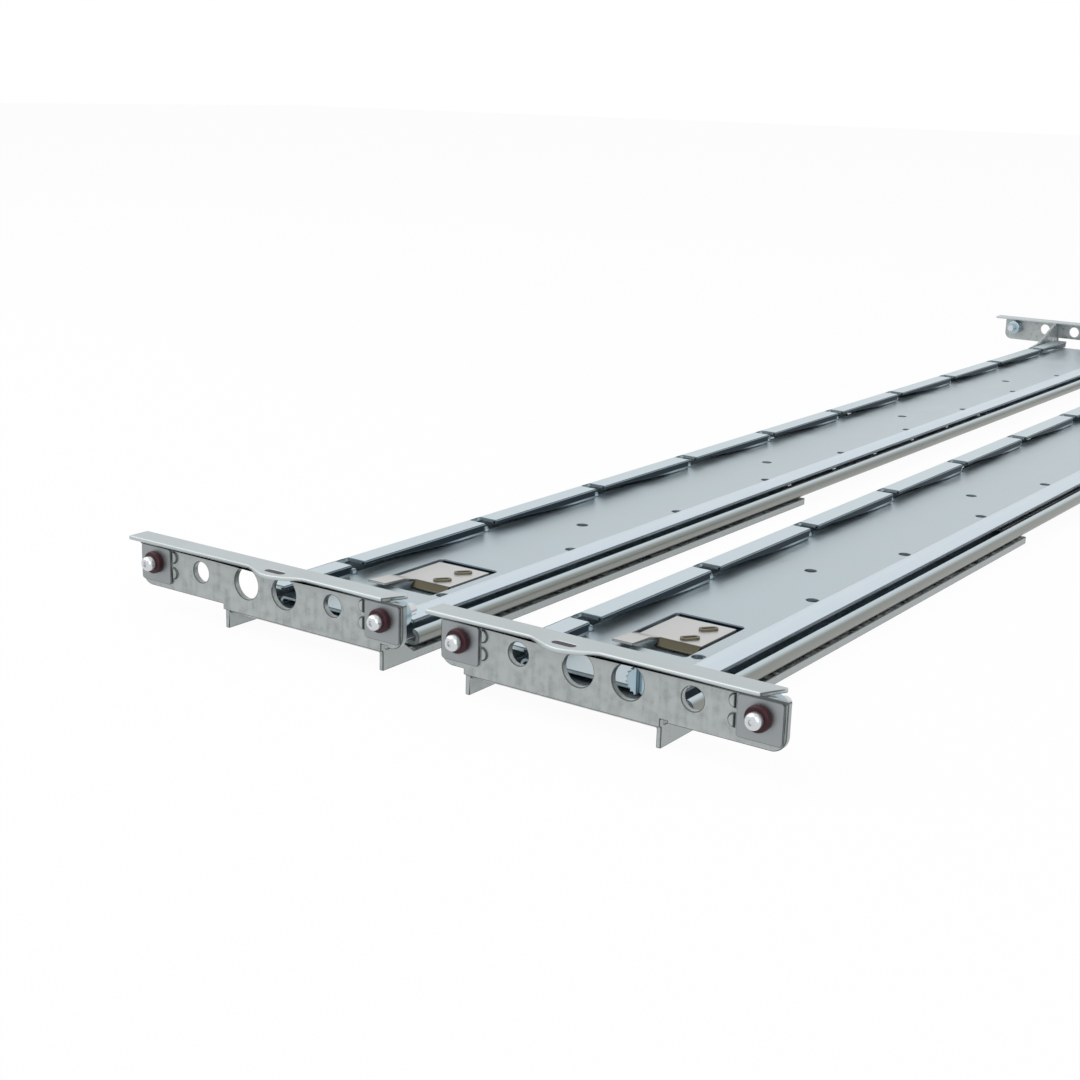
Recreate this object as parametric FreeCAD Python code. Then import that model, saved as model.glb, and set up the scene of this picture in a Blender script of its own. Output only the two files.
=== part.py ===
import FreeCAD, Part
import math
import os
from FreeCAD import Vector

# A pair of telescoping server rails for a 2U machine, lying on their outer sides.
# +X runs along the rails from the rear end plates to the front ones, +Y is to the
# left and +Z points towards the server. z = 0 is the surface that the rails lie on.
# Every piece is drawn in its own rail's frame, with x = 0 on the rear plate's outer
# face and y = 0 on the channel's centre line, and is moved to its place when saved.

os.makedirs("parts", exist_ok=True)

# ---- overall layout
plate_to_plate = 620.0        # rear plate's outer face to the front plate's
channel_pitch = 76.5          # between the two channels' centre lines
bracket_offset = 11.4         # plate centre from the channel's centre line

# ---- end plates
plate_width = 88.0
plate_thickness = 1.6
plate_top = 20.5              # top face of the folded lip
plate_bottom = 8.6            # lower edge beside the channel
plate_corner = 3.5
plate_bend = 1.0              # inside radius of the fold into the web
lip_sheet = 0.9
lip_proud = 0.4               # lip in front of the plate
lip_depth = 5.6               # how far the lip is folded back
lip_overhang = 4.3            # lip past the plate's left end
lip_relief = 3.0              # lip short of the plate's right end
lip_taper = 3.0               # its front corner is cut off by as much again
ear_width = 15.0
ear_reach = 3.6              # in front of the plate
ear_slot_length = 8.0
ear_slot_width = 2.6
ear_slot_x = -0.3
ear_slot_depth = 4.0
ear_centre = {"left": 7.5, "right": -1.5}
small_hole_radius = 2.7
large_hole_radius = 4.0
hole_row = 15.4               # height of the pins and holes
pin_spacing = 76.2
small_hole_spacing = 44.45
large_hole_spacing = 12.7
relief_width = 1.8            # nick beside the leg, at the plate's lower edge
relief_height = 0.5

# ---- mounting pins
pin_radius = 1.9              # of the tip
pin_shaft_radius = 1.5        # inside collar, plate and barrel
pin_reach = 4.4               # in front of the plate
pin_chamfer = 0.5
pin_dimple_radius = 0.7
pin_dimple_depth = 0.5
pin_fit = 0.05                # radial clearance of the shaft in its seats
pin_tip_gap = 0.15            # between the tip's shoulder and the collar
collar_radius = 2.9
collar_length = 1.7
pad_size = 10.6              # across; the lower edge is half of it below the holes
pad_roof_gap = 0.2            # between the pad and the lip
pad_thickness = 0.6
pad_corner = 0.8
barrel_radius = 3.4
barrel_length = 9.0
lance_radius = 1.5
lance_reach = 0.5
lance_offset = 2.1            # above and below the pin line
lance_gap = 0.6               # from the pad's edge

# ---- rear telescoping arm
arm_length = 218.0
arm_width = 52.0
arm_sheet = 1.2
arm_web_bottom = 3.2
arm_front_web_bottom = 6.2    # the raised stretch behind the plate
joggle_start = 8.0
joggle_length = 4.0
arm_slot_start = 80.0
arm_travel = 100.0            # depth adjustment
arm_slot_width = 5.2
leg_bottom = 2.2              # lowest edge of the rail, which lies on the ground

# ---- depth guide rivets
guide_radius = 2.4
guide_head_radius = 4.0
guide_head_height = 0.8
guide_gap = 0.1
guide_spacing = 20.0

# ---- outer channel
channel_width = 52.0
channel_sheet = 1.2
channel_bottom = 4.7
channel_top = 11.4            # top of the notched lip
channel_right_top = 8.9
channel_rear_x = 14.0
channel_front_gap = 10.0      # short of the front plate's outer face
channel_bend = 0.7
left_lip_reach = 7.6
right_lip_reach = 2.1
notch_pitch = 58.8
notch_first_x = 40.0
notch_length = 5.0
notch_reach = 6.2
notch_corner = 1.2
hem_gap = 0.2                 # between the wedge under a lip segment and the slide's web
hem_sheet = 0.8
hem_start = 0.03              # of the segment, where the wedge begins
hem_full = 0.78               # of the segment, where it reaches its full depth
segment_end_gap = 0.6

# ---- sliding member
slide_sheet = 1.0
slide_web_bottom = 7.2
slide_top = 10.9
slide_clearance = 3.0         # room for a ball between slide and channel wall
slide_left_foot = 6.2
slide_bend = 0.8
slide_rise_y = 12.5           # where the right side begins to rise
slide_rise_run = 3.1
slide_crown_y = 19.0          # crest of the rolled right edge
slide_crown_fall = 0.5        # from the crest to either side of it
slide_right_y = 22.6
slide_end_gap = 2.0           # from each end of the channel
slide_travel = 380.0
web_hole_radius = 1.6
web_hole_y = -10.6
web_hole_first_x = 42.4
second_hole_first_x = 126.4
second_hole_y = 2.6
lug_radius = 0.9
lug_height = 1.3
lug_y = 20.3

# ---- balls and cages
ball_radius = 1.4
right_ball_y = -19.2
ball_height = 7.6
ball_fit = 0.05
balls_per_row = 6
ball_pitch = 34.0
cage_sheet = 0.8
cage_floor_gap = 0.1          # left cage strip above the channel's web
cage_roof_gap = 0.5           # left cage strip below the notched lip
cage_right_width = 5.2
cage_end = 10.0
cage_front_gap = 212.0        # cage's front end from the channel's front end

# ---- latch leaf
window_start_x = 40.0
window_length = 29.0
window_left = 11.2
window_right = -8.4
window_corner = 1.0
leaf_sheet = 0.6
leaf_end_gap = 2.2            # from the window's front edge
leaf_base_length = 17.5
leaf_left = 10.0
leaf_right = -7.2
leaf_bend = 0.3
leaf_sink = 0.1               # leaf's top below the slide's web top
step_run = 2.2                # the edge bent down beside the tongue
step_fall = 1.3
tongue_right = 4.2
tongue_rise = 1.2
tongue_rise_run = 4.5
tongue_lift = 0.5             # further rise over the tongue's flat
tongue_length = 8.0
tab_sheet = 0.8
tab_left = 2.5
tab_right = -5.5
tab_reach = 17.0
tab_weld_length = 4.0
tab_step = 1.6
latch_rivet_radius = 0.9
latch_rivet_head_length = 5.0
latch_rivet_head_width = 2.4
latch_rivet_head_height = 0.5
latch_rivet_slot_length = 3.6
latch_rivet_slot_width = 1.0
latch_rivet_turn = -40.0      # degrees about Z
latch_rivet_y = -2.0
latch_rivet_first_x = 53.0
latch_rivet_pitch = 9.0

# ---- front bracket
front_bracket_length = 92.0
front_plate_clear = 0.8       # plate's lower edge above the slide's top
gusset_gap = 0.3              # between the bracket's walls and the channel
gusset_length = 30.0
gusset_top = 11.4
barrel_clearance = 0.3        # between a barrel and the wall beside it
front_rivet_radius = 2.0
front_rivet_height = 0.8
front_rivet_spacing = 50.0

# ---- captive screw behind the right rail's rear plate
screw_radius = 3.4
screw_length = 7.0
screw_rib_radius = 0.45
screw_rib_count = 18
screw_slot_width = 1.3
screw_slot_depth = 1.2
screw_offset = -1.8           # from the hole's centre line

# ---- worked out from the sizes above
arm_web_top = arm_web_bottom + arm_sheet
channel_front_x = plate_to_plate - channel_front_gap
channel_half = channel_width / 2
channel_inner_half = channel_half - channel_sheet
slide_half = channel_inner_half - slide_clearance
slide_rear_x = channel_rear_x + slide_end_gap
slide_front_x = channel_front_x - slide_end_gap
slide_web_top = slide_web_bottom + slide_sheet
left_ball_y = (channel_inner_half + slide_half) / 2
cage_length = (balls_per_row - 1) * ball_pitch + 2 * cage_end
cage_rear_x = channel_front_x - cage_front_gap - cage_length
leaf_front_x = window_start_x + window_length - leaf_end_gap
leaf_bottom = slide_web_top - leaf_sink - leaf_sheet
window_end_x = window_start_x + window_length
lip_bottom = plate_top - lip_sheet
front_plate_bottom = slide_top + front_plate_clear
left_lip_bottom = channel_top - channel_sheet
channel_web_top = channel_bottom + channel_sheet
rail_y = {
    "left": (channel_pitch - lip_overhang) / 2,
    "right": -(channel_pitch + lip_overhang) / 2,
}
bracket_y = {"left": bracket_offset, "right": -bracket_offset}


def save(shape, node, side):
    """Write one node, moved from its rail's frame to the pair's frame, legs on z = 0."""
    placed = shape.copy()
    placed.translate(Vector(-plate_to_plate / 2, rail_y[side], -leg_bottom))
    placed.exportStep("parts/" + side + "_" + node + ".step")


def box(x0, x1, y0, y1, z0, z1):
    return Part.makeBox(x1 - x0, y1 - y0, z1 - z0, Vector(x0, y0, z0))


def rod_x(radius, x0, x1, y, z):
    return Part.makeCylinder(radius, x1 - x0, Vector(x0, y, z), Vector(1, 0, 0))


def rod_y(radius, y0, y1, x, z):
    return Part.makeCylinder(radius, y1 - y0, Vector(x, y0, z), Vector(0, 1, 0))


def rod_z(radius, z0, z1, x, y):
    return Part.makeCylinder(radius, z1 - z0, Vector(x, y, z0), Vector(0, 0, 1))


def fused(pieces):
    """Join overlapping or touching solids into one and merge flush faces."""
    joined = pieces[0].fuse(pieces[1:]) if len(pieces) > 1 else pieces[0]
    return joined.removeSplitter()


def rounded(solid, axis, radius):
    """Fillet the straight edges that run along one axis."""
    edges = []
    for edge in solid.Edges:
        start, end = edge.Vertexes[0].Point, edge.Vertexes[-1].Point
        along = (end - start).normalize() if (end - start).Length > 1e-6 else None
        if along is not None and abs(abs(along.dot(axis)) - 1) < 1e-6:
            edges.append(edge)
    return solid.makeFillet(radius, edges)


def offset_side(path, thickness, bend, side):
    """One face of a folded sheet: lines and arcs at half a thickness from its centre line."""
    edges = []
    shift = side * thickness / 2
    middle = bend + thickness / 2
    cursor = None
    for i in range(len(path)):
        here = Vector(*path[i])
        if i == 0 or i == len(path) - 1:
            other = Vector(*path[1]) if i == 0 else Vector(*path[-2])
            along = (other - here).normalize() if i == 0 else (here - other).normalize()
            normal = Vector(-along.y, along.x, 0)
            point = here + normal * shift
            if cursor is not None:
                edges.append(("line", cursor, point))
            cursor = point
            continue
        before = (here - Vector(*path[i - 1])).normalize()
        after = (Vector(*path[i + 1]) - here).normalize()
        turn = math.atan2(before.x * after.y - before.y * after.x, before.dot(after))
        sign = 1 if turn > 0 else -1
        reach = middle * math.tan(abs(turn) / 2)
        start = here - before * reach
        normal = Vector(-before.y, before.x, 0) * sign
        centre = start + normal * middle
        radius = middle - sign * shift
        first = centre - normal * radius
        after_normal = Vector(-after.y, after.x, 0) * sign
        last = centre - after_normal * radius
        halfway = (normal + after_normal).normalize()
        edges.append(("line", cursor, first))
        edges.append(("arc", first, centre - halfway * radius, last))
        cursor = last
    return edges


def folded_face(path, thickness, bend, place):
    """A closed face of a folded sheet's section; place turns its two numbers into a point."""
    points = [(a, b, 0) for a, b in path]
    upper = offset_side(points, thickness, bend, 1)
    lower = offset_side(points, thickness, bend, -1)
    edges = []
    for side in (upper, lower):
        for item in side:
            spots = [place(p) for p in item[1:]]
            if item[0] == "line":
                edges.append(Part.LineSegment(*spots).toShape())
            else:
                edges.append(Part.Arc(*spots).toShape())
    edges.append(Part.LineSegment(place(upper[0][1]), place(lower[0][1])).toShape())
    edges.append(Part.LineSegment(place(upper[-1][-1]), place(lower[-1][-1])).toShape())
    return Part.Face(Part.Wire(Part.__sortEdges__(edges)))


def folded_along_x(path, thickness, bend, x0, x1):
    """A folded sheet whose (y, z) section runs along X."""
    face = folded_face(path, thickness, bend, lambda p: Vector(x0, p.x, p.y))
    return face.extrude(Vector(x1 - x0, 0, 0))


def folded_along_y(path, thickness, bend, y0, y1):
    """A folded sheet whose (x, z) section runs along Y."""
    face = folded_face(path, thickness, bend, lambda p: Vector(p.x, y0, p.y))
    return face.extrude(Vector(0, y1 - y0, 0))


def outline_y(points, y0, y1):
    """A flat plate of an (x, z) outline between two y values."""
    wire = Part.makePolygon([Vector(x, y0, z) for x, z in points + points[:1]])
    return Part.Face(wire).extrude(Vector(0, y1 - y0, 0))


def slot_z(x0, x1, y, width, z0, z1):
    """A round-ended slot along X, to be cut out."""
    radius = width / 2
    middle = box(x0 + radius, x1 - radius, y - radius, y + radius, z0, z1)
    ends = [rod_z(radius, z0, z1, x, y) for x in (x0 + radius, x1 - radius)]
    return middle.fuse(ends)


def plate_panel(bottom, low, high):
    """The upright plate from y = low to y = high, under the lip."""
    return box(0, plate_thickness, low, high, bottom, lip_bottom)


def lip(low, high):
    """The folded lip, standing a little in front of the plate."""
    front, back = -lip_proud, lip_depth
    corners = [(front, low + lip_taper), (back, low), (back, high), (front, high)]
    points = [Vector(x, y, lip_bottom) for x, y in corners + corners[:1]]
    return Part.Face(Part.makePolygon(points)).extrude(Vector(0, 0, lip_sheet))


def ear(y):
    """The round ear in front of the lip."""
    half = ear_width / 2
    radius = (half * half + ear_reach * ear_reach) / (2 * ear_reach)
    disc = rod_z(radius, lip_bottom, plate_top, radius - ear_reach, y)
    return disc.common(box(-ear_reach, lip_depth / 2, y - half, y + half, lip_bottom, plate_top))


def ear_slot(y):
    """The slot through the ear and down into the plate's upper edge."""
    half = ear_slot_length / 2
    radius = ear_slot_width / 2
    low, high = plate_top - ear_slot_depth, plate_top + 1
    front, back = ear_slot_x - radius, ear_slot_x + radius
    middle = box(front, back, y - half + radius, y + half - radius, low, high)
    ends = [rod_z(radius, low, high, ear_slot_x, y + side * (half - radius)) for side in (-1, 1)]
    return middle.fuse(ends)


def lances(centre):
    """Pairs of half-round lances beside each pad."""
    pieces = []
    for side in (-1, 1):
        edge = centre + side * (pin_spacing / 2 - pad_size / 2 - lance_gap)
        for level in (-1, 1):
            disc = rod_x(lance_radius, -lance_reach, 0.5, edge, hole_row + level * lance_offset)
            inner = sorted((edge, edge - side * 2 * lance_radius))
            low, high = hole_row - 2 * pad_size, hole_row + 2 * pad_size
            pieces.append(disc.common(box(-lance_reach, 0.5, inner[0], inner[1], low, high)))
    return pieces


def plate_cuts(centre, radii):
    """Pin seats and screw holes through the plate; radii are the small and large holes'."""
    cuts = []
    rows = (
        (pin_spacing, pin_shaft_radius + pin_fit),
        (small_hole_spacing, radii[0]),
        (large_hole_spacing, radii[1]),
    )
    for spacing, radius in rows:
        for side in (-1, 1):
            y = centre + side * spacing / 2
            cuts.append(rod_x(radius, -1, plate_thickness + 1, y, hole_row))
    return cuts


def corner_cut(y, side):
    """What a rounded lower corner of the plate takes away; side is +1 at the left end."""
    inner = y - side * plate_corner
    low = sorted((inner, y + side))
    square = box(-1, plate_thickness + 1, low[0], low[1], plate_bottom - 1, plate_bottom + plate_corner)
    return square.cut(rod_x(plate_corner, -2, plate_thickness + 2, inner, plate_bottom + plate_corner))


def end_plate(side, bottom_at_channel):
    """The plate with lip, ear and lances, and the list of its cuts."""
    centre = bracket_y[side]
    low = centre - plate_width / 2
    high = centre + plate_width / 2
    half = arm_width / 2
    pieces = [
        plate_panel(plate_bottom, low, -half),
        plate_panel(bottom_at_channel, -half, half),
        plate_panel(plate_bottom, half, high),
    ]
    pieces.append(lip(low + lip_relief, high + lip_overhang))
    pieces.append(ear(ear_centre[side]))
    pieces += lances(centre)
    cuts = [corner_cut(low, -1), corner_cut(high, 1), ear_slot(ear_centre[side])]
    return pieces, cuts, centre


def rear_arm(side):
    """Plate, web and two legs folded from one sheet, sliding under the channel."""
    raised = arm_front_web_bottom + arm_sheet / 2
    lowered = arm_web_bottom + arm_sheet / 2
    half = arm_width / 2
    pieces, cuts, centre = end_plate(side, arm_front_web_bottom + plate_bend)
    web = [
        (plate_thickness / 2, arm_front_web_bottom + plate_thickness + plate_bend),
        (plate_thickness / 2, raised),
        (joggle_start, raised),
        (joggle_start + joggle_length, lowered),
        (arm_length, lowered),
    ]
    pieces.append(folded_along_y(web, arm_sheet, plate_bend, -half, half))
    leg = [
        (plate_thickness / 2, leg_bottom),
        (arm_length, leg_bottom),
        (arm_length, arm_web_top),
        (joggle_start + joggle_length, arm_web_top),
        (joggle_start, arm_front_web_bottom + arm_sheet),
        (plate_thickness / 2, arm_front_web_bottom + arm_sheet),
    ]
    for inner in (-half, half - arm_sheet):
        pieces.append(outline_y(leg, inner, inner + arm_sheet))
    slot_end = arm_slot_start + arm_travel + guide_spacing + 2 * guide_radius + 4 * guide_gap
    cuts.append(slot_z(arm_slot_start, slot_end, 0, arm_slot_width, 0, arm_web_top + 1))
    nick_low = -half - relief_width
    nick_top = plate_bottom + relief_height
    cuts.append(box(-1, plate_thickness + 1, nick_low, -half, plate_bottom - 2, nick_top))
    cuts += plate_cuts(centre, (small_hole_radius, large_hole_radius))
    return fused(pieces).cut(cuts).removeSplitter()


def front_bracket(side):
    """Plate over the channel's mouth, on two walls that clasp the channel."""
    pieces, cuts, centre = end_plate(side, front_plate_bottom)
    wall = channel_half + gusset_gap
    for sign in (-1, 1):
        ends = sorted((sign * wall, sign * (wall + arm_sheet)))
        outline = [
            (plate_thickness / 2, leg_bottom),
            (front_bracket_length, leg_bottom),
            (front_bracket_length, channel_bottom + arm_sheet),
            (gusset_length, gusset_top),
            (lip_depth, lip_bottom),
            (plate_thickness / 2, lip_bottom),
        ]
        pieces.append(outline_y(outline, ends[0], ends[1]))
    web_x = channel_front_gap - 1
    low = channel_bottom - arm_sheet
    reach = wall + arm_sheet / 2
    pieces.append(box(web_x, front_bracket_length, -reach, reach, low, channel_bottom))
    cuts += plate_cuts(centre, (small_hole_radius, small_hole_radius))
    barrel_end = plate_thickness + barrel_length + barrel_clearance
    for sign in (-1, 1):
        y = centre + sign * pin_spacing / 2
        cuts.append(rod_x(barrel_radius + barrel_clearance, plate_thickness, barrel_end, y, hole_row))
    return fused(pieces).cut(cuts).removeSplitter()


def pads(side, bottom):
    """Square plates between plate and collar, under the lip."""
    solids = []
    for sign in (-1, 1):
        y = bracket_y[side] + sign * pin_spacing / 2
        half = pad_size / 2
        pad = box(-pad_thickness, 0, y - half, y + half, bottom, lip_bottom - pad_roof_gap)
        pad = rounded(pad, Vector(1, 0, 0), pad_corner)
        solids.append(pad.cut(rod_x(pin_shaft_radius + pin_fit, -2, 1, y, hole_row)))
    return Part.makeCompound(solids)


def pins(side):
    """Silver pins: a chamfered, dimpled tip on a shaft through collar, plate and barrel."""
    solids = []
    shoulder = -pad_thickness - collar_length - pin_tip_gap
    back = plate_thickness + barrel_length
    for sign in (-1, 1):
        y = bracket_y[side] + sign * pin_spacing / 2
        shaft = rod_x(pin_shaft_radius, shoulder - 0.1, back, y, hole_row)
        head = rod_x(pin_radius, -pin_reach + pin_chamfer, shoulder, y, hole_row)
        tip = Part.makeCone(
            pin_radius - pin_chamfer,
            pin_radius,
            pin_chamfer,
            Vector(-pin_reach, y, hole_row),
            Vector(1, 0, 0),
        )
        dimple = rod_x(pin_dimple_radius, -pin_reach - 1, -pin_reach + pin_dimple_depth, y, hole_row)
        solids.append(fused([shaft, head, tip]).cut(dimple))
    return Part.makeCompound(solids)


def ring_x(outer, x0, x1, y):
    bore = rod_x(pin_shaft_radius + pin_fit, x0 - 1, x1 + 1, y, hole_row)
    return rod_x(outer, x0, x1, y, hole_row).cut(bore)


def collars(side):
    seat = -pad_thickness
    rows = [bracket_y[side] + sign * pin_spacing / 2 for sign in (-1, 1)]
    return Part.makeCompound([ring_x(collar_radius, seat - collar_length, seat, y) for y in rows])


def barrels(side):
    end = plate_thickness + barrel_length
    rows = [bracket_y[side] + sign * pin_spacing / 2 for sign in (-1, 1)]
    return Part.makeCompound([ring_x(barrel_radius, plate_thickness, end, y) for y in rows])


def lip_segments():
    """Where each length of the notched lip starts and ends."""
    starts = [channel_rear_x]
    ends = []
    x = notch_first_x
    while x + notch_length < channel_front_x - notch_pitch / 4:
        ends.append(x)
        starts.append(x + notch_length)
        x += notch_pitch
    ends.append(channel_front_x)
    return list(zip(starts, ends))


def notch_positions():
    return [end + notch_length / 2 for start, end in lip_segments()[:-1]]


def hem(start, end):
    """The wedge under a lip segment's inner edge, which closes the gap towards its front end."""
    y = channel_half - left_lip_reach
    begin = start + (end - start) * hem_start
    full = start + (end - start) * hem_full
    tip = end - segment_end_gap
    deep = slide_web_top + hem_gap
    root = left_lip_bottom + channel_sheet / 4
    points = [(begin, root), (tip, root), (tip, deep), (full, deep)]
    return outline_y(points, y, y + hem_sheet)


def outer_channel():
    """C-section with a notched lip on its left and a short lip on its right."""
    half = channel_half - channel_sheet / 2
    base = channel_bottom + channel_sheet / 2
    left_top = channel_top - channel_sheet / 2
    right_top = channel_right_top - channel_sheet / 2
    path = [
        (channel_half - left_lip_reach, left_top),
        (half, left_top),
        (half, base),
        (-half, base),
        (-half, right_top),
        (-channel_half + right_lip_reach, right_top),
    ]
    body = folded_along_x(path, channel_sheet, channel_bend, channel_rear_x, channel_front_x)
    pieces = [body] + [hem(start, end) for start, end in lip_segments()]
    cuts = []
    edge = channel_half - left_lip_reach
    low = slide_web_top
    for x in notch_positions():
        half_notch = notch_length / 2
        cut = box(x - half_notch, x + half_notch, edge - 2, edge + notch_reach, low, channel_top + 1)
        cuts.append(rounded(cut, Vector(0, 0, 1), notch_corner))
    for x in guide_positions():
        cuts.append(rod_z(guide_radius / 2, channel_bottom - 1, channel_bottom + 2, x, 0))
    return fused(pieces).cut(cuts).removeSplitter()


def guide_positions():
    first = arm_slot_start + guide_radius + 2 * guide_gap
    return [first, first + guide_spacing]


def depth_guides():
    """Shoulder rivets that hang from the channel's web through the arm's slot."""
    solids = []
    head_top = arm_web_bottom - guide_gap
    for x in guide_positions():
        shank = rod_z(guide_radius, head_top, channel_bottom, x, 0)
        head = rod_z(guide_head_radius, head_top - guide_head_height, head_top, x, 0)
        tail = rod_z(guide_radius / 2, channel_bottom, channel_bottom + channel_sheet, x, 0)
        solids.append(fused([shank, head, tail]))
    return Part.makeCompound(solids)


def window():
    cut = box(window_start_x, window_end_x, window_right, window_left, slide_web_bottom - 1, slide_web_top + 1)
    return rounded(cut, Vector(0, 0, 1), window_corner)


def latch_tab():
    """The strip welded under the web that carries the leaf in the window."""
    level = leaf_bottom - tab_sheet / 2
    under = slide_web_bottom - tab_sheet / 2
    path = [
        (window_end_x - tab_reach, level),
        (window_end_x - tab_step, level),
        (window_end_x - 0.1, under),
        (window_end_x + tab_weld_length, under),
    ]
    return folded_along_y(path, tab_sheet, 0.1, tab_right, tab_left)


def sliding_member():
    """The inner channel: flat web, rolled right edge, lugs at the notches and a window."""
    edge = slide_half - slide_sheet / 2
    level = slide_web_bottom + slide_sheet / 2
    crest = slide_top - slide_sheet / 2
    path = [
        (edge, slide_left_foot),
        (edge, level),
        (-slide_rise_y, level),
        (-slide_rise_y - slide_rise_run, crest - slide_crown_fall),
        (-slide_crown_y, crest),
        (-slide_right_y, crest - slide_crown_fall),
    ]
    body = folded_along_x(path, slide_sheet, slide_bend, slide_rear_x, slide_front_x)
    cuts = [window()]
    x = web_hole_first_x
    while x < slide_front_x - notch_pitch / 4:
        cuts.append(rod_z(web_hole_radius, slide_web_bottom - 1, slide_web_top + 1, x, web_hole_y))
        x += notch_pitch
    x = second_hole_first_x
    while x < slide_front_x - notch_pitch / 4:
        cuts.append(rod_z(web_hole_radius, slide_web_bottom - 1, slide_web_top + 1, x, second_hole_y))
        x += 2 * notch_pitch
    body = body.cut(cuts)
    pieces = [body, latch_tab()]
    for x in notch_positions():
        lug = rod_z(lug_radius, slide_web_top - slide_sheet / 2, slide_web_top + lug_height, x, lug_y)
        pieces.append(lug)
    return fused(pieces)


def ball_positions():
    return [cage_rear_x + cage_end + i * ball_pitch for i in range(balls_per_row)]


def balls():
    solids = []
    for y in (left_ball_y, right_ball_y):
        for x in ball_positions():
            solids.append(Part.makeSphere(ball_radius, Vector(x, y, ball_height)))
    return Part.makeCompound(solids)


def ball_cages():
    """An upright strip beside the left wall and a flat one under the rolled right edge."""
    end = cage_rear_x + cage_length
    half = cage_sheet / 2
    low, high = channel_web_top + cage_floor_gap, left_lip_bottom - cage_roof_gap
    upright = box(cage_rear_x, end, left_ball_y - half, left_ball_y + half, low, high)
    reach = cage_right_width / 2
    flat = box(cage_rear_x, end, right_ball_y - reach, right_ball_y + reach,
               ball_height - half, ball_height + half)
    pocket = ball_radius + ball_fit
    left_holes = [rod_y(pocket, left_ball_y - 2, left_ball_y + 2, x, ball_height)
                  for x in ball_positions()]
    right_holes = [rod_z(pocket, ball_height - 2, ball_height + 2, x, right_ball_y)
                   for x in ball_positions()]
    return Part.makeCompound([upright.cut(left_holes), flat.cut(right_holes)])


def latch_leaf():
    """Sprung leaf: a flat base, an edge bent down on the right and a raised tongue on the left."""
    level = leaf_bottom + leaf_sheet / 2
    bend_x = leaf_front_x - leaf_base_length
    down = [(leaf_front_x, level), (bend_x, level), (bend_x - step_run, level - step_fall)]
    rise_x = bend_x - tongue_rise_run
    up = [
        (leaf_front_x, level),
        (bend_x, level),
        (rise_x, level + tongue_rise),
        (rise_x - tongue_length, level + tongue_rise + tongue_lift),
    ]
    base = folded_along_y(down, leaf_sheet, leaf_bend, leaf_right, tongue_right)
    tongue = folded_along_y(up, leaf_sheet, leaf_bend, tongue_right, leaf_left)
    holes = [rod_z(latch_rivet_radius, 0, slide_top, x, latch_rivet_y)
             for x in latch_rivet_positions()]
    return fused([base, tongue]).cut(holes).removeSplitter()


def latch_rivet_positions():
    return [latch_rivet_first_x, latch_rivet_first_x + latch_rivet_pitch]


def latch_rivets():
    """Slotted oval heads on short shanks in the leaf."""
    solids = []
    top = leaf_bottom + leaf_sheet
    high = top + latch_rivet_head_height
    for x in latch_rivet_positions():
        half = latch_rivet_head_length / 2
        slot_half = latch_rivet_slot_length / 2
        shank = rod_z(latch_rivet_radius, leaf_bottom, top, x, latch_rivet_y)
        head = slot_z(x - half, x + half, latch_rivet_y, latch_rivet_head_width, top, high)
        groove = slot_z(x - slot_half, x + slot_half, latch_rivet_y, latch_rivet_slot_width,
                        top + latch_rivet_head_height / 3, high + 1)
        rivet = fused([shank, head.cut(groove)])
        rivet.rotate(Vector(x, latch_rivet_y, 0), Vector(0, 0, 1), latch_rivet_turn)
        solids.append(rivet)
    return Part.makeCompound(solids)


def front_rivets():
    """Rivet heads under the front bracket's web, in the front end's mirrored frame."""
    solids = []
    top = channel_bottom - arm_sheet
    for i in range(2):
        x = front_bracket_length / 4 + i * front_rivet_spacing
        solids.append(Part.makeCone(
            front_rivet_radius,
            front_rivet_radius / 2,
            front_rivet_height,
            Vector(x, 0, top),
            Vector(0, 0, -1),
        ))
    return Part.makeCompound(solids)


def captive_screw():
    """Ribbed screw head against the back of the plate."""
    y = bracket_y["right"] - large_hole_spacing / 2 + screw_offset
    core = rod_x(screw_radius, plate_thickness, plate_thickness + screw_length, y, hole_row)
    ribs = []
    for i in range(screw_rib_count):
        angle = 2 * math.pi * i / screw_rib_count
        rib_y = y + screw_radius * math.cos(angle)
        rib_z = hole_row + screw_radius * math.sin(angle)
        ribs.append(rod_x(screw_rib_radius, plate_thickness - 1, plate_thickness + screw_length + 1,
                          rib_y, rib_z))
    slot = box(plate_thickness, plate_thickness + screw_slot_depth, y - screw_slot_width / 2,
               y + screw_slot_width / 2, hole_row - 2 * screw_radius, hole_row + 2 * screw_radius)
    return core.cut(ribs + [slot])


def at_front(shape):
    """Turn a rear-end piece into its front-end twin."""
    return shape.mirror(Vector(plate_to_plate / 2, 0, 0), Vector(1, 0, 0))


for side in ("left", "right"):
    save(outer_channel(), "outer_channel", side)
    save(depth_guides(), "depth_guides", side)
    save(sliding_member(), "sliding_member", side)
    save(ball_cages(), "ball_cages", side)
    save(balls(), "balls", side)
    save(latch_leaf(), "latch_leaf", side)
    save(latch_rivets(), "latch_rivets", side)
    save(rear_arm(side), "rear_arm", side)
    save(pads(side, hole_row - pad_size / 2), "rear_pads", side)
    save(pins(side), "rear_pins", side)
    save(collars(side), "rear_collars", side)
    save(barrels(side), "rear_barrels", side)
    save(at_front(front_bracket(side)), "front_bracket", side)
    save(at_front(pads(side, front_plate_bottom)), "front_pads", side)
    save(at_front(pins(side)), "front_pins", side)
    save(at_front(collars(side)), "front_collars", side)
    save(at_front(barrels(side)), "front_barrels", side)
    save(at_front(front_rivets()), "front_rivets", side)
save(captive_screw(), "captive_screw", "right")
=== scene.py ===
# %% [markdown]
# # A pair of telescoping server rails
#
# The rails are folded from zinc-plated sheet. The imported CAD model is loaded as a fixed
# frame, and this lesson gives it its finish: smooth bends, softened sheet edges, turned
# pins, bearing balls, and the plated, grained surface of each metal.

# %% Load the frame
import math

import bmesh
import bpy
from mathutils import Matrix, Vector


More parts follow.
